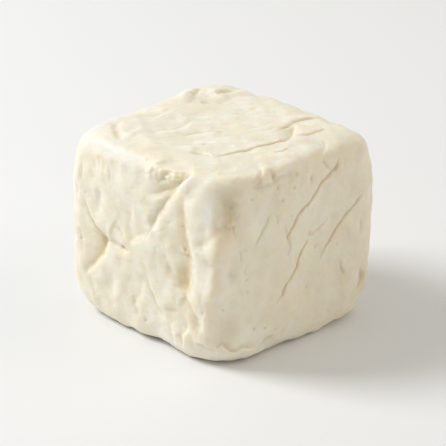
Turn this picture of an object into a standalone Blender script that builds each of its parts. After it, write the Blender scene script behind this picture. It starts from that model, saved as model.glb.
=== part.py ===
"""A block of halloumi as one solid: a squared-up block of pressed, folded curd with worn corners, lobes and creases.

Sizes are in millimetres and become metres when the mesh is made. +Z is up and the block rests on z = 0. The front
looks along -Y, and the right side along +X.
"""

from dataclasses import dataclass

import bmesh
import bpy
import numpy as np

MM = 0.001

# The squared-up block
WIDTH = 63.4  # along X
DEPTH = 60.6  # along Y
HEIGHT = 55.2  # above the surface that it rests on
PRESSED_IN = 0.5  # how much of the rounded underside the rest flattens
SQUARENESS = 12.0  # exponent of the rounded form: higher has tighter edges
WEAR_SPREAD = 4.0  # how closely the wear keeps to the corner
CORNER_WEAR = {  # share of its distance from the middle that each corner has lost
    (-1, -1, 1): 0.036,
    (-1, -1, -1): 0.046,
    (1, 1, 1): 0.010,
    (1, 1, -1): 0.044,
    (-1, 1, 1): 0.018,
    (-1, 1, -1): 0.050,
    (1, -1, 1): 0.050,
    (1, -1, -1): 0.058,
}

# The mesh
CUTS_PER_SIDE = 130
TRIANGLES = 10800
REST_CUTTER_DEPTH = 10.0  # the slab that flattens the underside
SAMPLES_PER_SPAN = 12  # of a fold's curved path
SEED = 7

HALF = np.array([WIDTH, DEPTH, HEIGHT + PRESSED_IN]) / 2
MIDDLE_Z = (HEIGHT - PRESSED_IN) / 2
CREAM = (0.87, 0.80, 0.66, 1)


def front(x, z):
    return (x, -DEPTH / 2, z)


def back(x, z):
    return (x, DEPTH / 2, z)


def right(y, z):
    return (WIDTH / 2, y, z)


def left(y, z):
    return (-WIDTH / 2, y, z)


def top(x, y):
    return (x, y, HEIGHT)


def under(x, y):
    return (x, y, -PRESSED_IN)


@dataclass
class Fold:
    """A crease between two lobes of curd. The lobe on the left of its path, seen from outside, stands higher."""

    path: list
    lift: float = 0.0  # how far the higher lobe stands out beside the crease
    edge: float = 1.0  # width of the lobe's rounded edge
    reach: float = 4.0  # how far back the lobe stays raised
    sink: float = 0.0  # how far the lower side dips at the crease
    slope: float = 2.0  # width of that dip
    cut: float = 0.0  # depth of the fine groove along the crease; below 0 it is a ridge
    groove: float = 0.6  # half-width of that groove
    flare: tuple = (1, 1)  # how large the whole section is at the path's start and end
    fades: tuple = (0.25, 0.25)  # share of the path over which its start and its end die away
    soft: float = 0.4  # radius that rounds the bottom of the crease
    bowl: float = 1.5  # section of the dip, from 1 for a V that is steepest at the crease to 3 for a flat floor


@dataclass
class Swell:
    """A soft rise, or a dent where its height is below 0, round one point."""

    centre: tuple
    radii: tuple
    height: float


RIM_FOLDS = [
    # The ridge down the front corner, set back from it onto the front, and ridges along the two upper rims
    Fold([front(28.4, 54), front(28.8, 49.5), front(28.6, 44.5), front(30.8, 41), front(31.4, 37), front(30, 32),
          front(29.6, 26.5), front(28.6, 21), front(26.8, 15), front(26.6, 9), front(26.8, 4)],
         cut=-0.9, groove=2.3, fades=(0.12, 0.2)),
    Fold([(WIDTH / 2, -24, HEIGHT), (WIDTH / 2, -8, HEIGHT), (WIDTH / 2, 10, HEIGHT)],
         cut=-0.7, groove=2.6),
    Fold([(-27, -DEPTH / 2, HEIGHT), (-12, -DEPTH / 2, HEIGHT), (4, -DEPTH / 2, HEIGHT)],
         cut=-0.5, groove=1.8, fades=(0.25, 0.1)),
]

FRONT_FOLDS = [
    # The crisp lower edge of the top rim
    Fold([front(-29, 50.4), front(-23, 50.8), front(-18.2, 51), front(-12.6, 51.4), front(-8.2, 51.8),
          front(-1.5, 51.8), front(4.9, 53)], cut=-0.3, groove=1.4, fades=(0.3, 0.06)),
    # The torn patch under the rim: its left wall, the notch with the tongue below it, and the slanting tear
    Fold([front(4.4, 50.4), front(5.1, 53), top(6.2, -27.8), top(8, -25)],
         lift=0.35, edge=0.8, reach=2, fades=(0.3, 0.4), soft=0.3),
    Fold([top(19, -27.4), front(16, 53.8), front(12.6, 50), front(8.6, 47.4), front(4.6, 45.6), front(1, 44.4)],
         lift=0.15, edge=2.6, reach=3.5, sink=1.7, slope=2.8, flare=(1.1, 0.5), fades=(0.16, 0.5), soft=0.4,
         bowl=1.3),
    Fold([front(15.6, 51.8), front(13.5, 49.2), front(11.2, 46.6), front(8.5, 42.4), front(5.6, 38),
          front(3.2, 34.8)], lift=0.1, edge=3.4, reach=3.5, sink=1.2, slope=1.8, flare=(0.8, 0.8),
         fades=(0.1, 0.15), soft=0.4, bowl=1.7),
    # Strands of curd across the torn patch
    Fold([front(6, 53), front(8.6, 54.2), top(12.6, -28.8), top(16, -26)], cut=-0.4, groove=0.6, flare=(0.7, 1.2)),
    Fold([front(10.4, 52.4), front(12.6, 53.2), front(14.6, 54.8)], cut=0.4, groove=0.5, flare=(1.2, 0.6),
         soft=0.2),
    Fold([front(6.2, 50), front(8.4, 50.8), front(10.8, 51.6)], cut=0.4, groove=0.6),
    # The upper lobe's lower edge, and the pocket that it overhangs
    Fold([front(-24.4, 38.5), front(-23.2, 34.4), front(-21.6, 30.9), front(-18.8, 28.4), front(-16.4, 27),
          front(-14, 25.7)], lift=0.3, edge=3, reach=5, sink=0.55, slope=2.4, cut=0.3, groove=0.55,
         flare=(0.2, 1.3), fades=(0.35, 0.05), soft=0.5),
    Fold([front(-14.6, 25.9), front(-11.4, 26), front(-8.6, 25.6), front(-5.6, 25.4)],
         lift=0.45, edge=2.2, reach=4, sink=0.3, slope=1.5, flare=(0.6, 1.2), fades=(0.1, 0.2), soft=0.3),
    Fold([front(-9, 25.8), front(-7, 25.4), front(-5.2, 25)], cut=0.9, groove=0.5, fades=(0.25, 0.15), soft=0.2),
    Fold([front(4.6, 35), front(0.2, 32.4), front(-3.4, 29.8), front(-5.6, 26.6)], lift=0.4, edge=2.6, reach=3.5,
         sink=0.3, slope=2.2, soft=0.4),
    Fold([front(-6.4, 31.5), front(-7.2, 29), front(-5.8, 26)], lift=0.25, edge=1.2, reach=2, sink=0.2, slope=1.5),
    Fold([front(-14.8, 26.6), front(-15.4, 24.2), front(-16.6, 21.6), front(-18.8, 19), front(-22.4, 14.8),
          front(-26, 11.2)], lift=0.3, edge=3, reach=4.5, sink=1.4, slope=3.4, flare=(1.1, 0.6), fades=(0.06, 0.4),
         soft=0.5, bowl=1.2),
    # The lobe that wraps the front corner, and the deep valley left of it
    Fold([front(18.4, 53.2), front(17.9, 50.5), front(17.3, 47.5), front(17.1, 44.2), front(17.1, 40.8),
          front(17.3, 37.8), front(17.9, 35.2), front(18.7, 32.2), front(18.7, 29), front(17.9, 25.5),
          front(16.8, 21.8), front(15.2, 18.7)], lift=0.35, edge=5.5, reach=4.5, sink=1.7, slope=4.8,
         flare=(0.4, 1.2), fades=(0.3, 0.12), soft=1.3, bowl=1.3),
    Fold([front(15.8, 19.4), front(19.4, 17.2), front(22, 13.8), front(23, 9.4), front(22.2, 5)],
         lift=0.3, edge=3.2, reach=3, sink=0.9, slope=4.4, fades=(0.1, 0.4), soft=1.1),
    Fold([front(15.4, 31.6), front(17.6, 31.3), front(19.4, 31.8)], lift=0.35, edge=0.6, reach=1.2, sink=0.3,
         slope=0.8, soft=0.2),
    # The nick between the corner's two upper lobes, and a fainter one below
    Fold([front(19.4, 35.6), front(23.4, 36), front(27, 38.4), front(30.6, 42), right(-28.6, 43.4)],
         cut=0.5, groove=1.3, fades=(0.4, 0.25)),
    Fold([front(22, 33.4), front(27, 31.6), right(-29.6, 31.6)], cut=0.3, groove=1.5),
    # Creases low on the front
    Fold([front(1, 21.6), front(2.8, 17.8), front(5.6, 14.2), front(8.6, 11), front(9.8, 9)], lift=0.1, edge=1.6,
         reach=3, sink=0.15, slope=1.6, cut=0.28, groove=0.9, soft=0.5),
    Fold([front(1, 21), front(-0.4, 17), front(-0.8, 12.6)], cut=0.22, groove=1.2),
    Fold([front(8.8, 12.7), front(11.6, 12.8), front(14.4, 13.9)], cut=0.3, groove=0.7),
    Fold([front(11.4, 9.8), front(12, 7.2), front(12.6, 4.6), front(12.8, 2)], lift=0.3, edge=1.2, reach=2,
         sink=0.35, slope=1.6, soft=0.35),
    Fold([front(18.6, 11.6), front(17.8, 9.2), front(16.9, 6.4), front(16.6, 2.4)], lift=0.35, edge=1.4, reach=2.2,
         sink=0.5, slope=2, fades=(0.25, 0.25), soft=0.4),
    Fold([front(21.6, 5.6), front(23.6, 6.6), front(26, 5.6), front(28.8, 4.4), front(31.2, 4)], lift=0.5,
         edge=0.6, reach=2.4, sink=0.35, slope=1.6, soft=0.2),
    # Faint ones across the upper and the middle front
    Fold([front(-9.8, 31.6), front(-7.6, 30), front(-5.6, 28.6)], cut=0.35, groove=0.7),
    Fold([front(-27.2, 27), front(-25.6, 22), front(-26.4, 17)], cut=0.3, groove=1.2),
    Fold([front(-22.6, 13.4), front(-20.8, 10), front(-18.6, 6.4)], cut=0.3, groove=1.0),
    Fold([front(-3.4, 13.4), front(-2.8, 10), front(-1.2, 6.6)], cut=0.3, groove=1.1),
    Fold([front(8.5, 29.5), front(10.5, 25.5), front(10.2, 21)], cut=0.3, groove=2),
    Fold([front(-17.4, 51), front(-16.8, 48), front(-17, 45)], cut=0.16, groove=0.4),
    Fold([front(-15.4, 50.6), front(-14.6, 48), front(-14.8, 46)], cut=0.16, groove=0.4),
    Fold([front(-13, 50.8), front(-12.2, 47), front(-12.8, 43)], cut=0.16, groove=0.5),
]

RIGHT_FOLDS = [
    # Three long creases that slant across the side, with their branches
    Fold([right(15.6, 53), right(14.2, 49.5), right(12, 48), right(8.5, 46), right(2.2, 41.8), right(-2.4, 38),
          right(-5.2, 34.6), right(-5, 32)], cut=0.65, groove=0.42, lift=0.15, edge=0.9, fades=(0.12, 0.12),
         soft=0.2),
    Fold([right(9.6, 54.4), right(10.2, 51), right(11.8, 48.6)], cut=0.4, groove=0.4, soft=0.2),
    Fold([right(24.8, 40), right(19.8, 35.5), right(15.2, 31.8), right(11, 27.2), right(8.2, 23.5),
          right(6, 20.4)], cut=0.6, groove=0.42, lift=0.15, edge=0.9, fades=(0.15, 0.3), soft=0.2),
    Fold([right(11.8, 36.2), right(8.4, 33.6), right(5, 31.6), right(2.8, 32.6)], cut=0.4, groove=0.45,
         flare=(0.6, 1.4), soft=0.2),
    Fold([right(3.2, 31.8), right(0, 27.2), right(-3, 22.5), right(-6.2, 19), right(-10.8, 15)],
         cut=0.7, groove=0.5, lift=0.2, edge=1, fades=(0.12, 0.25), soft=0.2),
    Fold([right(-10.8, 43), right(-11.8, 41), right(-13.5, 38.5), right(-17.5, 35)], cut=0.4, groove=0.42,
         soft=0.2),
    Fold([right(-6.8, 38.4), right(-5.6, 35), right(-4.5, 32), right(-5.3, 27.6)], lift=0.3, edge=1, reach=2,
         cut=0.3, groove=0.5),
    # The lip that hangs over from the top rim, with a step at its left end
    Fold([right(-18.6, 53), right(-15.6, 52), right(-12.4, 51.8), right(-8.5, 52.4), right(-3, 53), right(3, 53)],
         lift=0.35, edge=1.2, reach=3, sink=0.4, slope=1.6, fades=(0.2, 0.5), soft=0.3),
    Fold([top(24.6, -9.6), top(28.4, -12), right(-14.6, 54.6), right(-16.4, 52.4)], lift=0.3, edge=0.7, reach=2.5,
         sink=0.35, slope=1.2, fades=(0.35, 0.3), soft=0.25),
    # Scallops along the foot
    Fold([right(-15.6, 3.4), right(-19, 4.6), right(-21.4, 5.4), right(-24.6, 3.8), right(-26.8, 4.6),
          right(-29, 6.5), front(30.6, 5), front(28, 4.8)], lift=0.6, edge=0.5, reach=2.4, sink=0.3, slope=1.6,
         soft=0.2),
    Fold([right(-15, 2.4), right(-12.8, 5), right(-10.4, 6.4)], cut=0.35, groove=0.6),
    # Short marks
    Fold([right(22.6, 31.6), right(23.4, 29), right(23.2, 26)], cut=0.35, groove=0.6),
    Fold([right(15.2, 21), right(16, 18.6), right(17.4, 15.8)], lift=0.35, edge=0.6, reach=1.5, cut=0.25,
         groove=0.4, soft=0.2),
    Fold([right(23.4, 16.4), right(24.4, 12.6), right(22.6, 8.6)], lift=0.3, edge=1, cut=0.3, groove=0.6),
    Fold([right(-24.4, 43), right(-24.8, 40.6), right(-24.2, 38.6)], cut=0.25, groove=0.45),
    Fold([right(-22.6, 35), right(-22, 33), right(-22.4, 31)], cut=0.3, groove=0.4),
    Fold([right(-20, 30.4), right(-20.8, 28.6), right(-20.2, 27)], cut=0.3, groove=0.4),
    Fold([right(-9.2, 41.6), right(-9, 40), right(-8.6, 38.4)], cut=0.3, groove=0.4),
]

TOP_FOLDS = [
    # The long crease beside the right rim, the hook at its far end and the two cracks beyond it
    Fold([top(12.6, -17.6), top(13.8, -14.5), top(15.5, -8.8), top(16.8, -2.2), top(17.5, 3.2), top(18.2, 8.4)],
         lift=0.2, edge=0.7, reach=3, sink=0.3, slope=2.4, cut=0.28, groove=0.4, flare=(0.8, 1.1),
         fades=(0.3, 0.1), soft=0.2, bowl=1.2),
    Fold([top(11, 18), top(13.4, 14.4), top(16, 11.8), top(18.6, 8.6), top(19.4, 4)],
         lift=0.3, edge=1, reach=3.5, sink=0.8, slope=2.6, fades=(0.25, 0.25), soft=0.25),
    Fold([top(18, 9.6), top(20, 13.6), top(20.4, 18), top(20.6, 21.8)], lift=0.2, edge=0.7, reach=2.5, sink=0.2,
         slope=2, cut=0.18, groove=0.4, soft=0.2),
    Fold([top(11.6, 7.6), top(10.8, 14), top(9.8, 20.4), top(11.2, 25), top(14, 28.5)], lift=0.2, edge=0.8,
         reach=3, sink=0.35, slope=2.4, cut=0.15, groove=0.45, flare=(0.7, 1.2), soft=0.2),
    Fold([top(23.6, -3.2), top(24, 0.4), top(24, 4)], lift=0.25, edge=0.7, reach=1.5, cut=0.35, groove=0.45,
         soft=0.2),
    # The lump at the back corner, and the pocket in front of it
    Fold([left(13, 52.6), top(-30, 9), top(-26.4, 6.6), top(-22, 6.4), top(-18, 8.4), top(-14.6, 12)],
         lift=0.2, edge=2.2, reach=5, sink=0.1, slope=2.4, fades=(0.3, 0.35)),
    Fold([top(-22.4, 9.8), top(-25, 13.2), top(-28.6, 17.4)], cut=0.55, groove=0.9, lift=0.35, edge=1.8),
    Fold([top(-20.6, 15.4), top(-20.4, 19.4), top(-21.2, 25)], cut=0.5, groove=1.1, lift=0.35, edge=2),
    Fold([top(-14, 12.6), top(-16, 17), top(-16.6, 22), top(-13, 27)], lift=0.3, edge=2.6, reach=4, sink=0.2,
         slope=3, soft=0.5),
    # Marks that run over the front rim, and shallow ones behind them
    Fold([top(-25, -17.4), top(-21, -21), top(-16, -24.6), top(-13.4, -28)], cut=0.6, groove=1.2, lift=0.3,
         edge=1.6, flare=(0.7, 1.2)),
    Fold([top(-15.6, -14.6), top(-13.6, -19.6), top(-12.2, -25)], cut=-0.35, groove=1.0),
    Fold([top(-20.6, 1.4), top(-20, -3.6), top(-19.6, -8), top(-19.4, -13)], cut=0.3, groove=1.0, lift=0.2,
         edge=1.5),
    Fold([top(-11.6, -1), top(-9, -5.4), top(-9.4, -10), top(-11.6, -15)], cut=0.3, groove=0.8, lift=0.25,
         edge=1.4),
    Fold([top(1.6, 0), top(-1.2, -5.2), top(-4.4, -11.6)], cut=0.3, groove=0.6, lift=0.15),
    Fold([top(6.6, -19.6), top(9.6, -16.2), top(13.6, -16)], cut=0.35, groove=0.45, lift=0.2, edge=0.8),
    Fold([top(23.4, 15.2), top(27.4, 13.6), right(9.6, 54.6)], cut=0.2, groove=0.6, lift=0.15, edge=1.2,
         soft=0.3),
    Fold([top(4.6, 4), top(6.4, 10), top(5.6, 17)], cut=0.2, groove=0.7),
    Fold([top(-6, 9), top(-5, 14), top(-6.4, 19)], cut=0.2, groove=0.8),
]

BACK_FOLDS = [
    # Slanting creases like those of the right side
    Fold([back(-22, 45), back(-15, 40.6), back(-9, 35), back(-3, 31), back(2, 25.6), back(5, 20)],
         cut=0.5, groove=0.45, lift=0.15, edge=1, soft=0.2),
    Fold([back(-5, 51), back(1, 47.6), back(7, 42), back(13, 38.4)], cut=0.4, groove=0.42, lift=0.12, edge=1,
         soft=0.2),
    Fold([back(-1, 28.6), back(-5, 24), back(-6, 20.6)], cut=0.3, groove=0.45, soft=0.2),
    Fold([back(-25, 30), back(-21, 26), back(-18, 20.4)], cut=0.35, groove=0.42, soft=0.2),
    # A soft valley beside the corner, and lobes along the upper rim and the foot
    Fold([back(24, 49), back(21.4, 43), back(22.6, 35), back(20, 28), back(20.8, 20), back(18.6, 12)],
         lift=0.3, edge=4, reach=4.5, sink=0.8, slope=4, flare=(0.5, 1.2), soft=1.0),
    Fold([back(-27, 49.6), back(-19, 47.6), back(-11, 49), back(-3, 50.6)], lift=0.3, edge=2.6, reach=4, sink=0.4,
         slope=2.4, flare=(1, 0.6), soft=0.6),
    Fold([back(-18, 13), back(-11, 9.6), back(-5, 10.4), back(2, 6.6)], lift=0.25, edge=2, reach=3, sink=0.5,
         slope=2, flare=(0.7, 1.1), soft=0.5),
    Fold([back(10, 16), back(12.6, 11.6), back(12, 6)], cut=0.3, groove=0.7, lift=0.2, edge=1.2),
    Fold([back(14, 32), back(10.6, 29), back(9.6, 25)], cut=0.25, groove=0.8),
]

LEFT_FOLDS = [
    # The edge of a broad lobe, with a shorter one that turns down from it
    Fold([left(-26, 37), left(-19, 34), left(-12, 34.6), left(-5, 31), left(1, 29.8), left(6, 31.6)],
         lift=0.3, edge=2.6, reach=5, sink=0.7, slope=3, flare=(1.1, 0.6), soft=0.6),
    Fold([left(3, 30.4), left(8, 25), left(9.4, 19), left(14, 13), left(15, 8)],
         lift=0.3, edge=2.6, reach=4, sink=0.9, slope=3.4, flare=(0.6, 1.1), soft=0.7),
    # Fine creases
    Fold([left(9, 50), left(13, 45.4), left(18.6, 42), left(23, 37)], cut=0.45, groove=0.45, lift=0.15, edge=1,
         soft=0.2),
    Fold([left(-24, 22), left(-18, 18), left(-11, 16.8), left(-6, 12.6), left(-2, 8)], cut=0.45, groove=0.5,
         lift=0.15, edge=1, soft=0.2),
    Fold([left(-8, 48), left(-10.4, 44), left(-9.6, 39)], cut=0.3, groove=0.7),
    Fold([left(-21, 50), left(-18, 46.6), left(-17.4, 43)], cut=0.3, groove=0.5),
    Fold([left(19, 27), left(22, 23.4), left(21.4, 18)], cut=0.3, groove=0.6),
    Fold([left(-14, 28), left(-12, 24.6), left(-7, 23)], cut=0.25, groove=0.6),
]

UNDER_FOLDS = [
    Fold([under(-21, 12), under(-12, 9), under(-3, 12), under(8, 10)], sink=0.9, slope=2.6, edge=2.4),
    Fold([under(19, 4), under(16, -5), under(16, -13), under(11, -20)], sink=0.9, slope=2.4, edge=2.2),
]

SWELLS = [
    # The front
    Swell(front(-19.4, 22), (4.5, 6, 4.5), -0.4),
    Swell(front(10, 52.4), (4.4, 6, 2.4), -0.7),
    Swell(front(18.6, 53.4), (2.4, 4, 2.4), 1.1),
    Swell(front(-25.4, 44), (0.9, 4, 2.6), -0.35),
    Swell(front(-27.4, 37), (0.8, 4, 1.8), -0.4),
    Swell(front(-17.4, 38), (1.5, 4, 4), -0.45),
    Swell(front(-13.4, 36), (2.0, 4, 5), 0.3),
    Swell(front(-4.8, 38), (2.0, 4, 4.5), -0.3),
    Swell(front(-12, 44), (9, 8, 8), 0.35),
    Swell(front(4.5, 28), (5, 4, 4), 0.45),
    Swell(front(7.6, 36), (2.2, 4, 2.8), 0.35),
    Swell(front(12.6, 33.6), (2.4, 4, 2.2), 0.4),
    Swell(front(13.2, 41), (1.8, 4, 3), -0.35),
    Swell(front(6, 21), (2.6, 4, 3.2), 0.35),
    Swell(front(-8, 18), (2.4, 4, 4), 0.3),
    Swell(front(-12.5, 14), (2, 4, 4.5), -0.3),
    Swell(front(0.4, 7), (2, 4, 1.8), -0.3),
    Swell(front(15, 11.5), (4, 5, 4), -0.5),
    Swell(front(25, 20), (3.5, 5, 2.4), 0.4),
    Swell(front(22.4, 45.6), (2.2, 4, 3.2), 0.4),
    Swell(front(23, 39.4), (2.4, 4, 1.8), -0.35),
    Swell(front(23.6, 28.6), (2.2, 4, 2.2), -0.35),
    Swell(front(21.4, 49.8), (1.8, 4, 1.2), -0.35),
    # Lobes down the front corner, with nicks between them
    Swell(front(28.6, 48), (4.5, 5, 5), 0.45),
    Swell((WIDTH / 2, -DEPTH / 2, 38), (3.4, 3.6, 2.8), 0.8),
    Swell((WIDTH / 2, -DEPTH / 2, 43.4), (2.6, 4, 1.5), -0.8),
    Swell((WIDTH / 2, -DEPTH / 2, 50), (3.6, 3.6, 5), -1.6),
    Swell((WIDTH / 2, -DEPTH / 2, 29), (3.6, 3.6, 3.4), -1.1),
    Swell((WIDTH / 2, -DEPTH / 2, 11), (4.4, 4, 7), -2.2),
    Swell(front(30, 25.6), (4, 4.5, 4.4), 0.45),
    Swell((WIDTH / 2, -DEPTH / 2, 19), (4.5, 5, 3), -0.6),
    Swell(front(26.6, 11.5), (3, 5, 4), 0.4),
    # The right side
    Swell(right(-25.4, 50.4), (6, 2.8, 3.6), -1.1),
    Swell(right(-25, 45.4), (6, 2.8, 3.4), -1.2),
    Swell(right(-25.4, 30), (6, 2.8, 6), -0.55),
    Swell(right(-25.2, 13), (6, 3.2, 6.5), -0.8),
    Swell(right(-19, 41), (4, 2, 5), 0.35),
    Swell(right(-15.5, 52.2), (4, 2.4, 0.8), -0.5),
    Swell(right(-10.2, 53.6), (4, 0.8, 1.1), -0.8),
    Swell(right(4, 48.6), (3, 0.9, 1.6), -0.5),
    Swell(right(3.4, 32.4), (3, 1.0, 0.9), -0.7),
    Swell(right(24.4, 12.5), (5, 1.6, 4), -0.4),
    Swell(right(-16, 22), (4, 5, 7), 0.4),
    Swell(right(2, 12), (4, 6, 4), 0.4),
    Swell(right(14, 12), (4, 2.6, 5), -0.3),
    Swell(right(-2, 46), (4, 5, 2.4), 0.3),
    # The back and the left side
    Swell(back(-9, 40), (5, 4, 4), 0.4),
    Swell(back(11, 22), (5, 4, 6), -0.4),
    Swell(back(-20, 15), (4, 4, 5), 0.4),
    Swell(back(13, 46), (4, 4, 3), -0.35),
    Swell(back(27, 36), (4, 4, 4), 0.4),
    Swell(back(27, 22), (4, 4, 4), -0.5),
    Swell(back(-28, 30), (4, 4, 5), -0.5),
    Swell(left(-12, 41), (4, 5, 4), 0.35),
    Swell(left(20, 32), (4, 4, 5), -0.4),
    Swell(left(-20, 12), (4, 5, 4), 0.4),
    Swell(left(3, 18), (4, 4, 5), 0.3),
    Swell(left(27, 44), (4, 4, 5), -0.45),
    Swell(left(-28, 25), (4, 4, 4), -0.4),
    # Wear along the lower rims
    Swell((6.6, -DEPTH / 2, 0), (6, 5, 5), -0.9),
    Swell(right(-8, 0), (5, 10, 4), -0.6),
    Swell(right(16, 0), (5, 7, 4), -0.8),
    Swell(right(28, 16), (5, 5, 6), -0.4),
    Swell(right(29, 52), (4, 4, 5), -0.5),
    Swell((WIDTH / 2, DEPTH / 2, 24), (6, 6, 9), 0.4),
    # The top
    Swell(top(-25, 9.2), (2.4, 2.4, 5), 0.9),
    Swell(top(-21.4, 8.6), (1.8, 1.8, 4), -0.7),
    Swell(top(-18.4, 11), (2, 2, 4), -0.9),
    Swell(top(-15.4, 13.8), (1.8, 1.8, 4), -0.6),
    Swell(top(-30, 17), (5, 5, 6), 0.6),
    Swell(top(-30, -5), (4, 10, 5), -0.5),
    Swell(top(23, 8), (6, 14, 6), 0.4),
    Swell(top(12, -6.5), (0.7, 0.7, 3), 0.4),
]

RIPPLES = [  # size and height of the whole block's unevenness
    (26.0, 0.22),
    (9.0, 0.11),
]
WANDER = (7.0, 0.13)  # size and reach of the wobble that keeps creases from running true


def unit_form(cube):
    """Points of the cube from -1 to 1, scaled by their p-norm, which rounds the cube's edges."""
    size = (np.abs(cube) ** SQUARENESS).sum(axis=1) ** (1 / SQUARENESS)
    return cube / size[:, None]


def rounded_block(cube):
    """The form before its creases. Each corner is drawn towards the middle by its wear, which fades away from the
    corner with a power of the product of the three coordinates."""
    form = unit_form(cube)
    at_corner = 3 ** (-3 / SQUARENESS)
    nearness = (np.abs(form).prod(axis=1) / at_corner) ** WEAR_SPREAD
    wear = np.zeros(len(cube))
    for corner, share in CORNER_WEAR.items():
        wear += share * np.all(np.sign(cube) == corner, axis=1)
    return form * (1 - wear * nearness)[:, None] * HALF + (0, 0, MIDDLE_Z)


def outward(cube):
    """Unit normals of the rounded form, from the gradient of its p-norm."""
    gradient = np.sign(cube) * np.abs(unit_form(cube)) ** (SQUARENESS - 1) / HALF
    return gradient / np.linalg.norm(gradient, axis=1)[:, None]


def on_cube(points):
    """Points of the squared-up block, in millimetres, as points of the cube from -1 to 1."""
    scaled = (np.asarray(points, float) - (0, 0, MIDDLE_Z)) / HALF
    return scaled / np.abs(scaled).max(axis=1)[:, None]


def smooth_path(points):
    """A Catmull-Rom curve through the points, so that a crease bends as one line."""
    knots = np.asarray(points, float)
    knots = np.vstack([2 * knots[0] - knots[1], knots, 2 * knots[-1] - knots[-2]])
    t = np.linspace(0, 1, SAMPLES_PER_SPAN, endpoint=False)[:, None]
    spans = []
    for a, b, c, d in zip(knots, knots[1:], knots[2:], knots[3:]):
        spans.append(b + 0.5 * t * (c - a + t * (2 * a - 5 * b + 4 * c - d + t * (3 * (b - c) + d - a))))
    return np.vstack([*spans, knots[-2:-1]])


def smooth_step(t):
    """3t^2 - 2t^3, held at 0 and 1 outside the range."""
    t = np.clip(t, 0, 1)
    return t * t * (3 - 2 * t)


def fold_height(fold, surface):
    """The points near the fold, as indices, and how far it raises each. Its section is a rounded lobe edge on one
    side, a dip on the other and a fine groove between them, each by its distance from the crease. All of it is scaled
    by the flare along the path, and fades at both ends."""
    cube = on_cube(smooth_path(fold.path))
    line, normal = rounded_block(cube), outward(cube)
    forward = np.gradient(line, axis=0)
    forward /= np.linalg.norm(forward, axis=1)[:, None]
    leftward = np.cross(normal, forward)
    run = np.concatenate([[0], np.cumsum(np.linalg.norm(np.diff(line, axis=0), axis=1))])

    lobe = fold.edge + 2 * fold.reach if fold.lift else fold.edge * (fold.sink > 0)
    width = max(fold.flare) * max(lobe, 2.4 * fold.slope * (fold.sink > 0), 2.4 * fold.groove)
    near = np.flatnonzero(np.all((surface > line.min(0) - width) & (surface < line.max(0) + width), axis=1))
    points = surface[near]
    nearest = ((line ** 2).sum(axis=1) - 2 * points @ line.T).argmin(axis=1)
    offset = points - line[nearest]
    place = (run[nearest] + (offset * forward[nearest]).sum(axis=1)) / run[-1]
    size = np.interp(place, (0, 1), fold.flare)
    side = (offset * leftward[nearest]).sum(axis=1) / size
    ends = smooth_step(place / fold.fades[0]) * smooth_step((1 - place) / fold.fades[1])

    raised = (side + np.hypot(side, fold.soft)) / 2
    shoulder = 1 - (1 - np.clip(raised / fold.edge, 0, 1)) ** 2
    behind = np.exp(-((np.maximum(side - fold.edge, 0) / fold.reach) ** 2))
    dip = np.exp(-(((raised - side) / fold.slope) ** fold.bowl))
    groove = np.exp(-((side / fold.groove) ** 2))
    section = shoulder * (fold.sink + fold.lift * behind) - fold.sink * dip - fold.cut * groove
    return near, ends * size * section


def swell_height(swell, surface):
    """A bell curve of the distance from the centre, measured in the swell's radii."""
    centre = rounded_block(on_cube([swell.centre]))
    return swell.height * np.exp(-(((surface - centre) / swell.radii) ** 2).sum(axis=1))


def ripple(size, surface, rng, waves=28):
    """Many plane waves of about one size added up, in directions and phases from the seeded generator. Most of its
    values lie between -1 and 1."""
    directions = rng.normal(size=(waves, 3))
    directions /= np.linalg.norm(directions, axis=1)[:, None]
    lengths = size * rng.uniform(0.7, 1.5, waves)
    phases = rng.uniform(0, 2 * np.pi, waves)
    turns = surface @ (directions * (2 * np.pi / lengths)[:, None]).T + phases
    return np.sqrt(2 / waves) * np.sin(turns).sum(axis=1)


def relief(surface):
    """How far each point stands out of the rounded form: the sum of every fold, swell and ripple."""
    rng = np.random.default_rng(SEED)
    height = np.zeros(len(surface))
    for size, amount in RIPPLES:
        height += amount * ripple(size, surface, rng)
    for swell in SWELLS:
        height += swell_height(swell, surface)
    size, amount = WANDER
    wandered = surface + amount * np.stack([ripple(size, surface, rng) for _ in range(3)], axis=1)
    for fold in RIM_FOLDS + FRONT_FOLDS + RIGHT_FOLDS + TOP_FOLDS + BACK_FOLDS + LEFT_FOLDS + UNDER_FOLDS:
        near, raised = fold_height(fold, wandered)
        height[near] += raised
    return height


def halloumi_material():
    material = bpy.data.materials.new("halloumi")
    material.use_nodes = True
    shader = material.node_tree.nodes["Principled BSDF"]
    shader.inputs["Base Color"].default_value = CREAM
    shader.inputs["Roughness"].default_value = 0.5
    shader.inputs["Metallic"].default_value = 0.0
    return material


def rest_cutter():
    """A slab whose top is the surface that the block rests on. It flattens the underside."""
    bm = bmesh.new()
    bmesh.ops.create_cube(bm, size=1)
    bmesh.ops.scale(bm, verts=bm.verts, vec=(2 * WIDTH * MM, 2 * DEPTH * MM, REST_CUTTER_DEPTH * MM))
    bmesh.ops.translate(bm, verts=bm.verts, vec=(0, 0, -REST_CUTTER_DEPTH * MM / 2))
    mesh = bpy.data.meshes.new("rest_cutter")
    bm.to_mesh(mesh)
    bm.free()
    cutter = bpy.data.objects.new("rest_cutter", mesh)
    cutter.hide_render = True
    cutter.display_type = "WIRE"
    bpy.context.scene.collection.objects.link(cutter)
    return cutter


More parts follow.
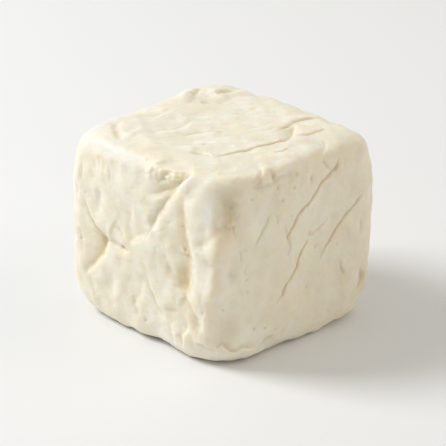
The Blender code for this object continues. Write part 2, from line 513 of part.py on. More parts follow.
def curd_block(cutter):
    """A finely divided cube carried to the rounded block, pushed out and in by the relief and centred in plan. Two
    modifiers then thin its mesh and cut its underside flat."""
    bm = bmesh.new()
    bmesh.ops.create_cube(bm, size=2)
    bmesh.ops.subdivide_edges(bm, edges=bm.edges[:], cuts=CUTS_PER_SIDE, use_grid_fill=True)
    mesh = bpy.data.meshes.new("halloumi_block")
    bm.to_mesh(mesh)
    bm.free()

    cube = np.empty(len(mesh.vertices) * 3, np.float32)
    mesh.vertices.foreach_get("co", cube)
    cube = cube.reshape(-1, 3).astype(float)
    surface = rounded_block(cube)
    surface += outward(cube) * relief(surface)[:, None]
    surface[:, :2] -= (surface[:, :2].min(axis=0) + surface[:, :2].max(axis=0)) / 2
    mesh.vertices.foreach_set("co", (surface * MM).astype(np.float32).ravel())
    mesh.materials.append(halloumi_material())
    mesh.shade_smooth()

    block = bpy.data.objects.new("halloumi_block", mesh)
    bpy.context.scene.collection.objects.link(block)
    thin = block.modifiers.new("thin", "DECIMATE")
    thin.ratio = TRIANGLES / (2 * len(mesh.polygons))
    thin.use_collapse_triangulate = True
    flatten = block.modifiers.new("rest", "BOOLEAN")
    flatten.operation = "DIFFERENCE"
    flatten.object = cutter
    return block


def main():
    for old in list(bpy.data.objects):
        bpy.data.objects.remove(old)
    curd_block(rest_cutter())


main()
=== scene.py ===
# A block of halloumi on a pale table, lit softly from the left.
# The curd is one folded surface. It starts as a rounded block, and folds, swells and marks raise or lower it.
# Lengths are in millimetres, and mm turns them into the metres that a mesh needs.
import bpy
import numpy as np
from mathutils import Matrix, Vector


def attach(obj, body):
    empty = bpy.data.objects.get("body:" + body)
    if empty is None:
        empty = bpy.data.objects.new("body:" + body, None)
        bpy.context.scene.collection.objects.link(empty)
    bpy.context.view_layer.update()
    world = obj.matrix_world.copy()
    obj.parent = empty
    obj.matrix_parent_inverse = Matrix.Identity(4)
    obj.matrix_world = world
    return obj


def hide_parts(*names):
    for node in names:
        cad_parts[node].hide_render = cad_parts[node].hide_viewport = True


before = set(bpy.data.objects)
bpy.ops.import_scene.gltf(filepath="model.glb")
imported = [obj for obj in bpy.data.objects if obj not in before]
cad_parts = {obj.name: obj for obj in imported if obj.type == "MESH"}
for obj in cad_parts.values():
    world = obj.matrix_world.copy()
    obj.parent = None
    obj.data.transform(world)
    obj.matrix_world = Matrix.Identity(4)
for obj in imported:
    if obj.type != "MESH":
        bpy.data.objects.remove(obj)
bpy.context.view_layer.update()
mm = 0.001

# Size and finish of the block. Its front looks along -Y and its right side along +X.
block = {
    "width": 63.4,  # along X
    "depth": 60.6,  # along Y
    "height": 55.2,
    "pressedIn": 0.5,  # how much of the rounded underside the table flattens
    "squareness": 12.0,  # higher has tighter edges
    "wearSpread": 4.0,  # how closely the wear keeps to each corner
    "cornerWear": {  # share of its distance from the middle that each corner has lost
        (-1, -1, 1): 0.036,
        (-1, -1, -1): 0.046,
        (1, 1, 1): 0.010,
        (1, 1, -1): 0.044,
        (-1, 1, 1): 0.018,
        (-1, 1, -1): 0.050,
        (1, -1, 1): 0.050,
        (1, -1, -1): 0.058,
    },
    "ripples": [(26.0, 0.22), (9.0, 0.11)],  # size and height of the block's unevenness
    "fineRipples": [(5.0, 0.095), (1.8, 0.02)],
    "wander": (7.0, 0.13),  # size and reach of the wobble in every crease
    "jitter": (1.9, 0.09),  # the same for its ragged edge
    "cells": 256,  # along each edge of the starting cube
    "triangles": 190000,  # of the finished block
    "waves": 28,  # added up in each ripple
    "waveSizes": (0.7, 1.5),  # least and most, as shares of the ripple's size
    "lumpShares": (-0.7, 1),  # least and most height of a small lump, as shares of its place's height
    "bellEnd": 2.4,  # where a bell curve counts as faded out, in its half-widths
    # Painted shade: how widely and strongly the tan is laid at the bottom of each fold
    "shadePaint": {"low": 0.8, "high": 0.4, "sink": 0.75, "lift": 0.3},  # how widely and strongly folds are tinted
    "shapeSeed": 7,  # of the ripples and the wobble
    "detailSeed": 11,  # of the fine ripples, lumps, scratches and pits
}
half = np.array([block["width"], block["depth"], block["height"] + block["pressedIn"]]) / 2
middle = np.array([0, 0, (block["height"] - block["pressedIn"]) / 2])


# A place on one side, from two lengths on it: x along the width, y along the depth and z up from the table
def front(x, z):
    return (x, -half[1], z)


def back(x, z):
    return (x, half[1], z)


def right(y, z):
    return (half[0], y, z)


def left(y, z):
    return (-half[0], y, z)


def top(x, y):
    return (x, y, block["height"])


def under(x, y):
    return (x, y, -block["pressedIn"])


# A fold is a crease between two lobes. The lobe on the left of its path, seen from outside, stands higher.
# lift, edge and reach: the higher lobe's height, the width of its round edge and how far back it stays raised
# sink and slope: depth and width of the dip beside it
# cut and groove: depth and half-width of the fine line between them, a ridge where cut is below 0
# flare: how large the whole section is at the path's start and end
# fades: share of the path over which its start and its end die away
# soft: radius that rounds the bottom of the crease
# bowl: section of the dip, from 1 for a V that is steepest at the crease to 3 for a flat floor
def fold(path, lift=0.0, edge=1.0, reach=4.0, sink=0.0, slope=2.0, cut=0.0, groove=0.6, flare=(1, 1),
         fades=(0.25, 0.25), soft=0.4, bowl=1.5):
    return {"path": path, "lift": lift, "edge": edge, "reach": reach, "sink": sink, "slope": slope,
            "cut": cut, "groove": groove, "flare": flare, "fades": fades, "soft": soft, "bowl": bowl}


rimFolds = [
    # The ridge down the front corner, set back from it onto the front, and ridges along the two upper rims
    fold([front(28.4, 54), front(28.8, 49.5), front(28.6, 44.5), front(30.8, 41), front(31.4, 37),
          front(30, 32), front(29.6, 26.5), front(28.6, 21), front(26.8, 15), front(26.6, 9),
          front(26.8, 4)], cut=-0.9, groove=2.3, fades=(0.12, 0.2)),
    fold([(half[0], -24, block["height"]), (half[0], -8, block["height"]), (half[0], 10, block["height"])],
         cut=-0.7, groove=2.6),
    fold([(-27, -half[1], block["height"]), (-12, -half[1], block["height"]),
          (4, -half[1], block["height"])], cut=-0.5, groove=1.8, fades=(0.25, 0.1)),
]

frontFolds = [
    # The crisp lower edge of the top rim
    fold([front(-29, 50.4), front(-23, 50.8), front(-18.2, 51), front(-12.6, 51.4), front(-8.2, 51.8),
          front(-1.5, 51.8), front(4.9, 53)], cut=-0.3, groove=1.4, fades=(0.3, 0.06)),
    # The torn patch under the rim: its left wall, the notch with the tongue below it, and the slanting tear
    fold([front(4.4, 50.4), front(5.1, 53), top(6.2, -27.8), top(8, -25)], lift=0.35, edge=0.8, reach=2,
         fades=(0.3, 0.4), soft=0.3),
    fold([top(19, -27.4), front(16, 53.8), front(12.6, 50), front(8.6, 47.4), front(4.6, 45.6),
          front(1, 44.4)], lift=0.15, edge=2.6, reach=3.5, sink=1.7, slope=2.8, flare=(1.1, 0.5),
         fades=(0.16, 0.5), soft=0.4, bowl=1.3),
    fold([front(15.6, 51.8), front(13.5, 49.2), front(11.2, 46.6), front(8.5, 42.4), front(5.6, 38),
          front(3.2, 34.8)], lift=0.1, edge=3.4, reach=3.5, sink=1.2, slope=1.8, flare=(0.8, 0.8),
         fades=(0.1, 0.15), soft=0.4, bowl=1.7),
    # Strands of curd across the torn patch
    fold([front(6, 53), front(8.6, 54.2), top(12.6, -28.8), top(16, -26)], cut=-0.4, groove=0.6,
         flare=(0.7, 1.2)),
    fold([front(10.4, 52.4), front(12.6, 53.2), front(14.6, 54.8)], cut=0.4, groove=0.5, flare=(1.2, 0.6),
         soft=0.2),
    fold([front(6.2, 50), front(8.4, 50.8), front(10.8, 51.6)], cut=0.4, groove=0.6),
    # The upper lobe's lower edge, and the pocket that it overhangs
    fold([front(-24.4, 38.5), front(-23.2, 34.4), front(-21.6, 30.9), front(-18.8, 28.4), front(-16.4, 27),
          front(-14, 25.7)], lift=0.3, edge=3, reach=5, sink=0.55, slope=2.4, cut=0.3, groove=0.55,
         flare=(0.2, 1.3), fades=(0.35, 0.05), soft=0.5),
    fold([front(-14.6, 25.9), front(-11.4, 26), front(-8.6, 25.6), front(-5.6, 25.4)], lift=0.45, edge=2.2,
         reach=4, sink=0.3, slope=1.5, flare=(0.6, 1.2), fades=(0.1, 0.2), soft=0.3),
    fold([front(-9, 25.8), front(-7, 25.4), front(-5.2, 25)], cut=0.9, groove=0.5, fades=(0.25, 0.15),
         soft=0.2),
    fold([front(4.6, 35), front(0.2, 32.4), front(-3.4, 29.8), front(-5.6, 26.6)], lift=0.4, edge=2.6,
         reach=3.5, sink=0.3, slope=2.2, soft=0.4),
    fold([front(-6.4, 31.5), front(-7.2, 29), front(-5.8, 26)], lift=0.25, edge=1.2, reach=2, sink=0.2,
         slope=1.5),
    fold([front(-14.8, 26.6), front(-15.4, 24.2), front(-16.6, 21.6), front(-18.8, 19), front(-22.4, 14.8),
          front(-26, 11.2)], lift=0.3, edge=3, reach=4.5, sink=1.4, slope=3.4, flare=(1.1, 0.6),
         fades=(0.06, 0.4), soft=0.5, bowl=1.2),
    # The lobe that wraps the front corner, and the deep valley left of it
    fold([front(18.4, 53.2), front(17.9, 50.5), front(17.3, 47.5), front(17.1, 44.2), front(17.1, 40.8),
          front(17.3, 37.8), front(17.9, 35.2), front(18.7, 32.2), front(18.7, 29), front(17.9, 25.5),
          front(16.8, 21.8), front(15.2, 18.7)], lift=0.35, edge=5.5, reach=4.5, sink=1.7, slope=4.8,
         flare=(0.4, 1.2), fades=(0.3, 0.12), soft=1.3, bowl=1.3),
    fold([front(15.8, 19.4), front(19.4, 17.2), front(22, 13.8), front(23, 9.4), front(22.2, 5)], lift=0.3,
         edge=3.2, reach=3, sink=0.9, slope=4.4, fades=(0.1, 0.4), soft=1.1),
    fold([front(15.4, 31.6), front(17.6, 31.3), front(19.4, 31.8)], lift=0.35, edge=0.6, reach=1.2,
         sink=0.3, slope=0.8, soft=0.2),
    # The nick between the corner's two upper lobes, and a fainter one below
    fold([front(19.4, 35.6), front(23.4, 36), front(27, 38.4), front(30.6, 42), right(-28.6, 43.4)],
         cut=0.5, groove=1.3, fades=(0.4, 0.25)),
    fold([front(22, 33.4), front(27, 31.6), right(-29.6, 31.6)], cut=0.3, groove=1.5),
    # Creases low on the front
    fold([front(1, 21.6), front(2.8, 17.8), front(5.6, 14.2), front(8.6, 11), front(9.8, 9)], lift=0.1,
         edge=1.6, reach=3, sink=0.15, slope=1.6, cut=0.28, groove=0.9, soft=0.5),
    fold([front(1, 21), front(-0.4, 17), front(-0.8, 12.6)], cut=0.22, groove=1.2),
    fold([front(8.8, 12.7), front(11.6, 12.8), front(14.4, 13.9)], cut=0.3, groove=0.7),
    fold([front(11.4, 9.8), front(12, 7.2), front(12.6, 4.6), front(12.8, 2)], lift=0.3, edge=1.2, reach=2,
         sink=0.35, slope=1.6, soft=0.35),
    fold([front(18.6, 11.6), front(17.8, 9.2), front(16.9, 6.4), front(16.6, 2.4)], lift=0.35, edge=1.4,
         reach=2.2, sink=0.5, slope=2, fades=(0.25, 0.25), soft=0.4),
    fold([front(21.6, 5.6), front(23.6, 6.6), front(26, 5.6), front(28.8, 4.4), front(31.2, 4)], lift=0.5,
         edge=0.6, reach=2.4, sink=0.35, slope=1.6, soft=0.2),
    # Faint ones across the upper and the middle front
    fold([front(-9.8, 31.6), front(-7.6, 30), front(-5.6, 28.6)], cut=0.35, groove=0.7),
    fold([front(-27.2, 27), front(-25.6, 22), front(-26.4, 17)], cut=0.3, groove=1.2),
    fold([front(-22.6, 13.4), front(-20.8, 10), front(-18.6, 6.4)], cut=0.3, groove=1.0),
    fold([front(-3.4, 13.4), front(-2.8, 10), front(-1.2, 6.6)], cut=0.3, groove=1.1),
    fold([front(8.5, 29.5), front(10.5, 25.5), front(10.2, 21)], cut=0.3, groove=2),
    fold([front(-17.4, 51), front(-16.8, 48), front(-17, 45)], cut=0.16, groove=0.4),
    fold([front(-15.4, 50.6), front(-14.6, 48), front(-14.8, 46)], cut=0.16, groove=0.4),
    fold([front(-13, 50.8), front(-12.2, 47), front(-12.8, 43)], cut=0.16, groove=0.5),
]

rightFolds = [
    # Three long creases that slant across the side, with their branches
    fold([right(15.6, 53), right(14.2, 49.5), right(12, 48), right(8.5, 46), right(2.2, 41.8),
          right(-2.4, 38), right(-5.2, 34.6), right(-5, 32)], cut=0.65, groove=0.42, lift=0.15, edge=0.9,
         fades=(0.12, 0.12), soft=0.2),
    fold([right(9.6, 54.4), right(10.2, 51), right(11.8, 48.6)], cut=0.4, groove=0.4, soft=0.2),
    fold([right(24.8, 40), right(19.8, 35.5), right(15.2, 31.8), right(11, 27.2), right(8.2, 23.5),
          right(6, 20.4)], cut=0.6, groove=0.42, lift=0.15, edge=0.9, fades=(0.15, 0.3), soft=0.2),
    fold([right(11.8, 36.2), right(8.4, 33.6), right(5, 31.6), right(2.8, 32.6)], cut=0.4, groove=0.45,
         flare=(0.6, 1.4), soft=0.2),
    fold([right(3.2, 31.8), right(0, 27.2), right(-3, 22.5), right(-6.2, 19), right(-10.8, 15)], cut=0.7,
         groove=0.5, lift=0.2, edge=1, fades=(0.12, 0.25), soft=0.2),
    fold([right(-10.8, 43), right(-11.8, 41), right(-13.5, 38.5), right(-17.5, 35)], cut=0.4, groove=0.42,
         soft=0.2),
    fold([right(-6.8, 38.4), right(-5.6, 35), right(-4.5, 32), right(-5.3, 27.6)], lift=0.3, edge=1,
         reach=2, cut=0.3, groove=0.5),
    # The lip that hangs over from the top rim, with a step at its left end
    fold([right(-18.6, 53), right(-15.6, 52), right(-12.4, 51.8), right(-8.5, 52.4), right(-3, 53),
          right(3, 53)], lift=0.35, edge=1.2, reach=3, sink=0.4, slope=1.6, fades=(0.2, 0.5), soft=0.3),
    fold([top(24.6, -9.6), top(28.4, -12), right(-14.6, 54.6), right(-16.4, 52.4)], lift=0.3, edge=0.7,
         reach=2.5, sink=0.35, slope=1.2, fades=(0.35, 0.3), soft=0.25),
    # Scallops along the foot
    fold([right(-15.6, 3.4), right(-19, 4.6), right(-21.4, 5.4), right(-24.6, 3.8), right(-26.8, 4.6),
          right(-29, 6.5), front(30.6, 5), front(28, 4.8)], lift=0.6, edge=0.5, reach=2.4, sink=0.3,
         slope=1.6, soft=0.2),
    fold([right(-15, 2.4), right(-12.8, 5), right(-10.4, 6.4)], cut=0.35, groove=0.6),
    # Short marks
    fold([right(22.6, 31.6), right(23.4, 29), right(23.2, 26)], cut=0.35, groove=0.6),
    fold([right(15.2, 21), right(16, 18.6), right(17.4, 15.8)], lift=0.35, edge=0.6, reach=1.5, cut=0.25,
         groove=0.4, soft=0.2),
    fold([right(23.4, 16.4), right(24.4, 12.6), right(22.6, 8.6)], lift=0.3, edge=1, cut=0.3, groove=0.6),
    fold([right(-24.4, 43), right(-24.8, 40.6), right(-24.2, 38.6)], cut=0.25, groove=0.45),
    fold([right(-22.6, 35), right(-22, 33), right(-22.4, 31)], cut=0.3, groove=0.4),
    fold([right(-20, 30.4), right(-20.8, 28.6), right(-20.2, 27)], cut=0.3, groove=0.4),
    fold([right(-9.2, 41.6), right(-9, 40), right(-8.6, 38.4)], cut=0.3, groove=0.4),
]

topFolds = [
    # The long crease beside the right rim, the hook at its far end and the two cracks beyond it
    fold([top(12.6, -17.6), top(13.8, -14.5), top(15.5, -8.8), top(16.8, -2.2), top(17.5, 3.2),
          top(18.2, 8.4)], lift=0.2, edge=0.7, reach=3, sink=0.3, slope=2.4, cut=0.28, groove=0.4,
         flare=(0.8, 1.1), fades=(0.3, 0.1), soft=0.2, bowl=1.2),
    fold([top(11, 18), top(13.4, 14.4), top(16, 11.8), top(18.6, 8.6), top(19.4, 4)], lift=0.3, edge=1,
         reach=3.5, sink=0.8, slope=2.6, fades=(0.25, 0.25), soft=0.25),
    fold([top(18, 9.6), top(20, 13.6), top(20.4, 18), top(20.6, 21.8)], lift=0.2, edge=0.7, reach=2.5,
         sink=0.2, slope=2, cut=0.18, groove=0.4, soft=0.2),
    fold([top(11.6, 7.6), top(10.8, 14), top(9.8, 20.4), top(11.2, 25), top(14, 28.5)], lift=0.2, edge=0.8,
         reach=3, sink=0.35, slope=2.4, cut=0.15, groove=0.45, flare=(0.7, 1.2), soft=0.2),
    fold([top(23.6, -3.2), top(24, 0.4), top(24, 4)], lift=0.25, edge=0.7, reach=1.5, cut=0.35, groove=0.45,
         soft=0.2),
    # The lump at the back corner, and the pocket in front of it
    fold([left(13, 52.6), top(-30, 9), top(-26.4, 6.6), top(-22, 6.4), top(-18, 8.4), top(-14.6, 12)],
         lift=0.2, edge=2.2, reach=5, sink=0.1, slope=2.4, fades=(0.3, 0.35)),
    fold([top(-22.4, 9.8), top(-25, 13.2), top(-28.6, 17.4)], cut=0.55, groove=0.9, lift=0.35, edge=1.8),
    fold([top(-20.6, 15.4), top(-20.4, 19.4), top(-21.2, 25)], cut=0.5, groove=1.1, lift=0.35, edge=2),
    fold([top(-14, 12.6), top(-16, 17), top(-16.6, 22), top(-13, 27)], lift=0.3, edge=2.6, reach=4,
         sink=0.2, slope=3, soft=0.5),
    # Marks that run over the front rim, and shallow ones behind them
    fold([top(-25, -17.4), top(-21, -21), top(-16, -24.6), top(-13.4, -28)], cut=0.6, groove=1.2, lift=0.3,
         edge=1.6, flare=(0.7, 1.2)),
    fold([top(-15.6, -14.6), top(-13.6, -19.6), top(-12.2, -25)], cut=-0.35, groove=1.0),
    fold([top(-20.6, 1.4), top(-20, -3.6), top(-19.6, -8), top(-19.4, -13)], cut=0.3, groove=1.0, lift=0.2,
         edge=1.5),
    fold([top(-11.6, -1), top(-9, -5.4), top(-9.4, -10), top(-11.6, -15)], cut=0.3, groove=0.8, lift=0.25,
         edge=1.4),
    fold([top(1.6, 0), top(-1.2, -5.2), top(-4.4, -11.6)], cut=0.3, groove=0.6, lift=0.15),
    fold([top(6.6, -19.6), top(9.6, -16.2), top(13.6, -16)], cut=0.35, groove=0.45, lift=0.2, edge=0.8),
    fold([top(23.4, 15.2), top(27.4, 13.6), right(9.6, 54.6)], cut=0.2, groove=0.6, lift=0.15, edge=1.2,
         soft=0.3),
    fold([top(4.6, 4), top(6.4, 10), top(5.6, 17)], cut=0.2, groove=0.7),
    fold([top(-6, 9), top(-5, 14), top(-6.4, 19)], cut=0.2, groove=0.8),
]

backFolds = [
    # Slanting creases like those of the right side
    fold([back(-22, 45), back(-15, 40.6), back(-9, 35), back(-3, 31), back(2, 25.6), back(5, 20)], cut=0.5,
         groove=0.45, lift=0.15, edge=1, soft=0.2),
    fold([back(-5, 51), back(1, 47.6), back(7, 42), back(13, 38.4)], cut=0.4, groove=0.42, lift=0.12,
         edge=1, soft=0.2),
    fold([back(-1, 28.6), back(-5, 24), back(-6, 20.6)], cut=0.3, groove=0.45, soft=0.2),
    fold([back(-25, 30), back(-21, 26), back(-18, 20.4)], cut=0.35, groove=0.42, soft=0.2),
    # A soft valley beside the corner, and lobes along the upper rim and the foot
    fold([back(24, 49), back(21.4, 43), back(22.6, 35), back(20, 28), back(20.8, 20), back(18.6, 12)],
         lift=0.3, edge=4, reach=4.5, sink=0.8, slope=4, flare=(0.5, 1.2), soft=1.0),
    fold([back(-27, 49.6), back(-19, 47.6), back(-11, 49), back(-3, 50.6)], lift=0.3, edge=2.6, reach=4,
         sink=0.4, slope=2.4, flare=(1, 0.6), soft=0.6),
    fold([back(-18, 13), back(-11, 9.6), back(-5, 10.4), back(2, 6.6)], lift=0.25, edge=2, reach=3,
         sink=0.5, slope=2, flare=(0.7, 1.1), soft=0.5),
    fold([back(10, 16), back(12.6, 11.6), back(12, 6)], cut=0.3, groove=0.7, lift=0.2, edge=1.2),
    fold([back(14, 32), back(10.6, 29), back(9.6, 25)], cut=0.25, groove=0.8),
]

leftFolds = [
    # The edge of a broad lobe, with a shorter one that turns down from it
    fold([left(-26, 37), left(-19, 34), left(-12, 34.6), left(-5, 31), left(1, 29.8), left(6, 31.6)],
         lift=0.3, edge=2.6, reach=5, sink=0.7, slope=3, flare=(1.1, 0.6), soft=0.6),
    fold([left(3, 30.4), left(8, 25), left(9.4, 19), left(14, 13), left(15, 8)], lift=0.3, edge=2.6,
         reach=4, sink=0.9, slope=3.4, flare=(0.6, 1.1), soft=0.7),
    # Fine creases
    fold([left(9, 50), left(13, 45.4), left(18.6, 42), left(23, 37)], cut=0.45, groove=0.45, lift=0.15,
         edge=1, soft=0.2),
    fold([left(-24, 22), left(-18, 18), left(-11, 16.8), left(-6, 12.6), left(-2, 8)], cut=0.45, groove=0.5,
         lift=0.15, edge=1, soft=0.2),
    fold([left(-8, 48), left(-10.4, 44), left(-9.6, 39)], cut=0.3, groove=0.7),
    fold([left(-21, 50), left(-18, 46.6), left(-17.4, 43)], cut=0.3, groove=0.5),
    fold([left(19, 27), left(22, 23.4), left(21.4, 18)], cut=0.3, groove=0.6),
    fold([left(-14, 28), left(-12, 24.6), left(-7, 23)], cut=0.25, groove=0.6),
]

underFolds = [
    fold([under(-21, 12), under(-12, 9), under(-3, 12), under(8, 10)], sink=0.9, slope=2.6, edge=2.4),
    fold([under(19, 4), under(16, -5), under(16, -13), under(11, -20)], sink=0.9, slope=2.4, edge=2.2),
]

# Soft rises, and dents where the height is below 0: centre, radii and height
swells = [
    # The front
    (front(-19.4, 22), (4.5, 6, 4.5), -0.4),
    (front(10, 52.4), (4.4, 6, 2.4), -0.7),
    (front(18.6, 53.4), (2.4, 4, 2.4), 1.1),
    (front(-25.4, 44), (0.9, 4, 2.6), -0.35),
    (front(-27.4, 37), (0.8, 4, 1.8), -0.4),
    (front(-17.4, 38), (1.5, 4, 4), -0.45),
    (front(-13.4, 36), (2.0, 4, 5), 0.3),
    (front(-4.8, 38), (2.0, 4, 4.5), -0.3),
    (front(-12, 44), (9, 8, 8), 0.35),
    (front(4.5, 28), (5, 4, 4), 0.45),
    (front(7.6, 36), (2.2, 4, 2.8), 0.35),
    (front(12.6, 33.6), (2.4, 4, 2.2), 0.4),
    (front(13.2, 41), (1.8, 4, 3), -0.35),
    (front(6, 21), (2.6, 4, 3.2), 0.35),
    (front(-8, 18), (2.4, 4, 4), 0.3),
    (front(-12.5, 14), (2, 4, 4.5), -0.3),
    (front(0.4, 7), (2, 4, 1.8), -0.3),
    (front(15, 11.5), (4, 5, 4), -0.5),
    (front(25, 20), (3.5, 5, 2.4), 0.4),
    (front(22.4, 45.6), (2.2, 4, 3.2), 0.4),
    (front(23, 39.4), (2.4, 4, 1.8), -0.35),
    (front(23.6, 28.6), (2.2, 4, 2.2), -0.35),
    (front(21.4, 49.8), (1.8, 4, 1.2), -0.35),
    # Lobes down the front corner, with nicks between them
    (front(28.6, 48), (4.5, 5, 5), 0.45),
    ((half[0], -half[1], 38), (3.4, 3.6, 2.8), 0.8),
    ((half[0], -half[1], 43.4), (2.6, 4, 1.5), -0.8),
    ((half[0], -half[1], 50), (3.6, 3.6, 5), -1.6),
    ((half[0], -half[1], 29), (3.6, 3.6, 3.4), -1.1),
    ((half[0], -half[1], 11), (4.4, 4, 7), -2.2),
    (front(30, 25.6), (4, 4.5, 4.4), 0.45),
    ((half[0], -half[1], 19), (4.5, 5, 3), -0.6),
    (front(26.6, 11.5), (3, 5, 4), 0.4),
    # The right side
    (right(-25.4, 50.4), (6, 2.8, 3.6), -1.1),
    (right(-25, 45.4), (6, 2.8, 3.4), -1.2),
    (right(-25.4, 30), (6, 2.8, 6), -0.55),
    (right(-25.2, 13), (6, 3.2, 6.5), -0.8),
    (right(-19, 41), (4, 2, 5), 0.35),
    (right(-15.5, 52.2), (4, 2.4, 0.8), -0.5),
    (right(-10.2, 53.6), (4, 0.8, 1.1), -0.8),
    (right(4, 48.6), (3, 0.9, 1.6), -0.5),
    (right(3.4, 32.4), (3, 1.0, 0.9), -0.7),
    (right(24.4, 12.5), (5, 1.6, 4), -0.4),
    (right(-16, 22), (4, 5, 7), 0.4),
    (right(2, 12), (4, 6, 4), 0.4),
    (right(14, 12), (4, 2.6, 5), -0.3),
    (right(-2, 46), (4, 5, 2.4), 0.3),
    # The back and the left side
    (back(-9, 40), (5, 4, 4), 0.4),
    (back(11, 22), (5, 4, 6), -0.4),
    (back(-20, 15), (4, 4, 5), 0.4),
    (back(13, 46), (4, 4, 3), -0.35),
    (back(27, 36), (4, 4, 4), 0.4),
    (back(27, 22), (4, 4, 4), -0.5),
    (back(-28, 30), (4, 4, 5), -0.5),
    (left(-12, 41), (4, 5, 4), 0.35),
    (left(20, 32), (4, 4, 5), -0.4),
    (left(-20, 12), (4, 5, 4), 0.4),
    (left(3, 18), (4, 4, 5), 0.3),
    (left(27, 44), (4, 4, 5), -0.45),
    (left(-28, 25), (4, 4, 4), -0.4),
    # Wear along the lower rims
    ((6.6, -half[1], 0), (6, 5, 5), -0.9),
    (right(-8, 0), (5, 10, 4), -0.6),
    (right(16, 0), (5, 7, 4), -0.8),
    (right(28, 16), (5, 5, 6), -0.4),
    (right(29, 52), (4, 4, 5), -0.5),
    ((half[0], half[1], 24), (6, 6, 9), 0.4),
    # The top
    (top(-25, 9.2), (2.4, 2.4, 5), 0.9),
    (top(-21.4, 8.6), (1.8, 1.8, 4), -0.7),
    (top(-18.4, 11), (2, 2, 4), -0.9),
    (top(-15.4, 13.8), (1.8, 1.8, 4), -0.6),
    (top(-30, 17), (5, 5, 6), 0.6),
    (top(-30, -5), (4, 10, 5), -0.5),
    (top(23, 8), (6, 14, 6), 0.4),
    (top(12, -6.5), (0.7, 0.7, 3), 0.4),
]

# Spots painted with the crease tan: mostly painted shade in hollows, under the lip and beside the front
# corner, and a yellow pocket behind the lump on top. Where the strength is below 0 the curd is painted whiter
# as a highlight on lit rims and lobes.
shadeAndHighlightSpots = [
    (front(9.4, 52.4), (4.0, 4, 1.8), 0.25),
    (front(13.6, 51), (3, 3, 2), -0.65),
    (front(-16.2, 24.6), (1.4, 3, 1.8), 0.6),
    (front(16, 30), (2.4, 4, 6), -0.35),
    (front(14.6, 12), (3.6, 4, 5), 0.1),
    (top(-21, 9), (1.8, 1.8, 4), 0.35),
    (top(-17.8, 11.4), (2.2, 2.2, 4), 0.5),
    (top(-14.6, 14.2), (1.8, 1.8, 4), 0.35),
    (top(-20.6, 21), (2, 4, 3), 0.2),
    (right(-26, 46.5), (4, 2.6, 7), 0.85),
    (right(-25, 29), (4, 2.4, 5), 0.15),
    (right(-25.4, 12), (4, 3, 5), 0.35),
    (right(-9.8, 53.4), (3, 0.9, 1.1), 0.9),
    (right(-15.4, 52.4), (3, 2.2, 0.8), 0.4),
    (right(26, 12), (4, 2.4, 5), 0.5),
    (right(-9, 44.6), (4, 2.6, 2.6), 0.2),
    (top(13.4, 13), (2, 2.4, 2), 0.35),
    (front(-12, 53.6), (12, 3, 1.8), -0.35),
    (front(19, 53), (2, 3, 2), -0.5),
    (front(27, 47), (2, 3, 6), -0.25),
    (top(-28, -24), (5, 5, 5), -0.35),
    (top(-22, -12), (12, 12, 6), -0.2),
    (front(24, 34), (3, 3, 5), -0.2),
    (top(12, -6.5), (0.7, 0.7, 3), -0.6),
]

# Rough places with small lumps of curd: centre, spread along each axis, how many, least and most radius, and
# height
crumbs = [
    (front(10.2, 52.8), (3.2, 0, 1.3), 50, (0.5, 1.2), 0.55),
    (front(14.6, 54.8), (1.6, 0.8, 0.5), 9, (0.5, 0.9), 0.35),
    (top(-22, 14), (3.6, 3.6, 0), 16, (0.9, 1.8), 0.3),
    (right(-25, 45), (0, 1.5, 5.5), 30, (0.6, 1.4), 0.5),
    (right(-23, 28), (0, 2.6, 9), 20, (0.8, 1.8), 0.22),
    (right(-8, 46.5), (0, 3.5, 3), 16, (0.5, 1.2), 0.22),
    (top(25, 0), (2, 5, 0), 12, (0.6, 1.4), 0.2),
    (front(20, 6), (5, 0, 2.6), 16, (0.6, 1.3), 0.28),
    (right(-24, 5), (0, 5, 1.6), 14, (0.5, 1.2), 0.28),
    (back(20, 28), (4, 0, 9), 22, (0.6, 1.6), 0.28),
    (back(-8, 46), (7, 0, 2.6), 18, (0.6, 1.4), 0.25),
    (left(5, 24), (0, 6, 6), 24, (0.7, 1.6), 0.25),
]

# Small pits, each with its radius and depth
pits = [
    (right(-7, 45.2), 0.5, 0.45), (right(-1.5, 51.5), 0.7, 0.45), (right(3.8, 48.8), 0.6, 0.4),
    (right(-2.8, 47.8), 0.5, 0.4), (right(-18.2, 48.5), 0.4, 0.35), (right(-4.2, 39.8), 0.4, 0.35),
    (right(6, 27.5), 0.5, 0.35), (right(14.5, 25.8), 0.5, 0.35), (right(2.5, 16.5), 0.6, 0.35),
    (right(-28.5, 18), 0.45, 0.35), (right(-20.5, 25.8), 0.45, 0.35), (right(-8.6, 49.4), 0.6, 0.4),
    (right(-17.2, 10.2), 0.55, 0.45), (right(-13.2, 9.2), 0.55, 0.45), (right(-9.8, 8), 0.55, 0.35),
    (front(17.5, 32.6), 0.5, 0.4), (front(1.2, 6.2), 0.55, 0.45), (front(-26, 22.4), 0.5, 0.35),
    (top(0.8, -1.4), 0.6, 0.4), (top(23.5, -22.5), 0.4, 0.35),
]

# Marks scattered by the seeded generator: how many on each side, their length, half-width and depth
scratches = {
    "top": {"count": 26, "heading": 86, "spread": 16, "length": (4, 12),
            "groove": (0.22, 0.4), "cut": (0.06, 0.16)},
    "side": {"count": 11, "heading": 62, "spread": 40, "length": (2.5, 7),
             "groove": (0.25, 0.45), "cut": (0.08, 0.2)},
    "bend": 0.12,  # most that a scratch bows, as a share of its half length
    "within": 0.86,  # share of each side that the marks keep to
    "pits": 20,
    "pitRadius": (0.3, 0.65),
    "pitDepth": (0.08, 0.26),
}


def unitForm(cube):
    # Each point of the cube from -1 to 1 is divided by its p-norm, which rounds the cube's edges
    power = block["squareness"]
    size = (np.abs(cube) ** power).sum(axis=1) ** (1 / power)
    return cube / size[:, None]


